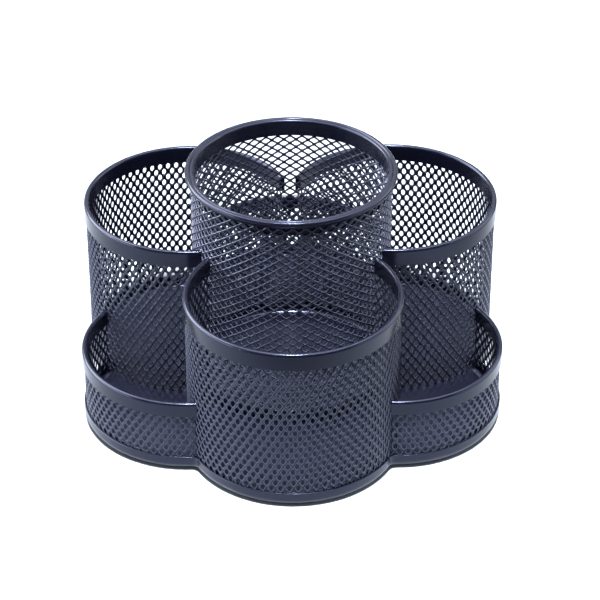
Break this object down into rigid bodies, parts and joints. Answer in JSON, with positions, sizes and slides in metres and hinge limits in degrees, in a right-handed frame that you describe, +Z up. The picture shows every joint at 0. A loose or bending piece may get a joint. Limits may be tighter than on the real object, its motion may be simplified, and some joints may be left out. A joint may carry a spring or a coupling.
{
  "type": "desk organizer pen cup",
  "caption": "Round steel-mesh desk organizer: a tall pen cup in the middle, shorter cups and low trays around it, all on one lobed base.",
  "frame": {"origin": "on the desk surface, under the axis of the middle cup, which is the bottom centre of the object's box", "axes": "+Z up along the middle cup; the front medium cup lies towards -Y; +X to the right seen from the front; the object is mirror-symmetric about X = 0"},
  "size_m": [0.1582, 0.1704, 0.0925],
  "materials": {
    "coated_mesh": "black powder-coated expanded steel mesh, satin",
    "coated_rim": "black powder-coated folded steel strip, satin",
    "coated_sheet": "black powder-coated pressed steel sheet, satin",
    "rubber": "matt black anti-slip rubber"
  },
  "bodies": {
    "root": {"base_pan": "coated_sheet", "middle_cup_pan": "coated_sheet", "middle_cup_mesh": "coated_mesh", "middle_cup_rim": "coated_rim", "front_cup_mesh": "coated_mesh", "front_cup_rim": "coated_rim", "front_cup_pad": "rubber", "rear_right_cup_mesh": "coated_mesh", "rear_right_cup_rim": "coated_rim", "rear_right_cup_pad": "rubber", "rear_left_cup_mesh": "coated_mesh", "rear_left_cup_rim": "coated_rim", "rear_left_cup_pad": "rubber", "front_right_tray_mesh": "coated_mesh", "front_right_tray_rim": "coated_rim", "front_right_tray_pad": "rubber", "rear_tray_mesh": "coated_mesh", "rear_tray_rim": "coated_rim", "rear_tray_pad": "rubber", "front_left_tray_mesh": "coated_mesh", "front_left_tray_rim": "coated_rim", "front_left_tray_pad": "rubber"}
  },
  "joints": []
}
